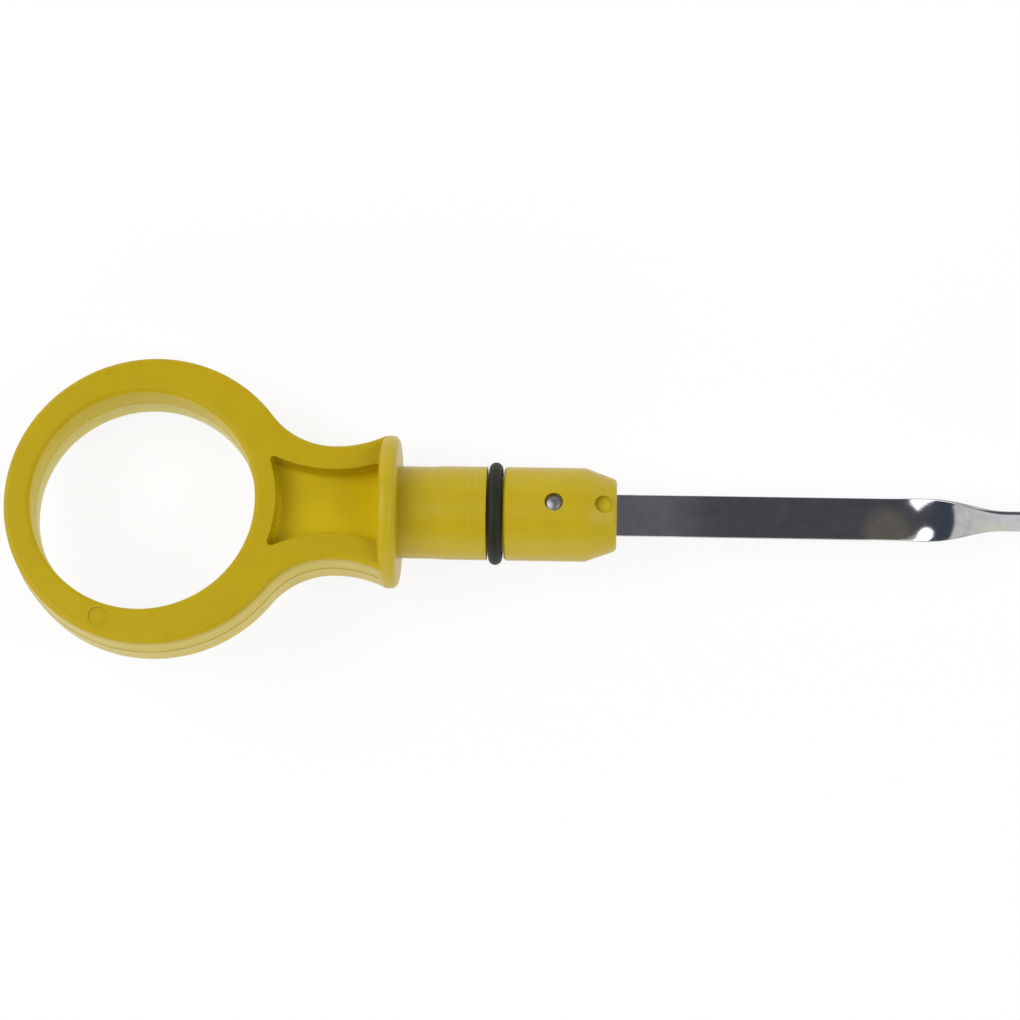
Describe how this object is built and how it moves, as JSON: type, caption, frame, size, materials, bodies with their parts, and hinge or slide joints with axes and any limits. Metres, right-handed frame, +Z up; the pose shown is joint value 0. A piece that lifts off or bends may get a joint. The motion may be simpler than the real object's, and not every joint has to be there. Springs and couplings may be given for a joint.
{
  "type": "engine oil dipstick",
  "caption": "Engine oil dipstick lying flat: moulded handle with a finger ring, neck pockets, flange and sealed stopper, and a thin steel blade with one twist and level holes.",
  "frame": {"origin": "on the surface that the dipstick lies on, under the middle of its bounding box", "axes": "+X from the finger ring to the blade's tip, +Z up from the surface; the stopper's axis falls 1.4 degrees towards the tip, and the finger ring is rolled 20 degrees about it, so that its edge, the flange's rim and the tip touch the surface"},
  "size_m": [0.3854, 0.0418, 0.023],
  "materials": {
    "yellow_plastic": "satin moulded plastic, greenish yellow",
    "black_rubber": "smooth, slightly shiny",
    "blade_steel": "bright rolled strip with a fine lengthwise grain",
    "pin_steel": "dull bright, domed ends"
  },
  "bodies": {
    "root": {"handle": "yellow_plastic", "seal_ring": "black_rubber", "blade": "blade_steel", "retaining_pin": "pin_steel"}
  },
  "joints": []
}
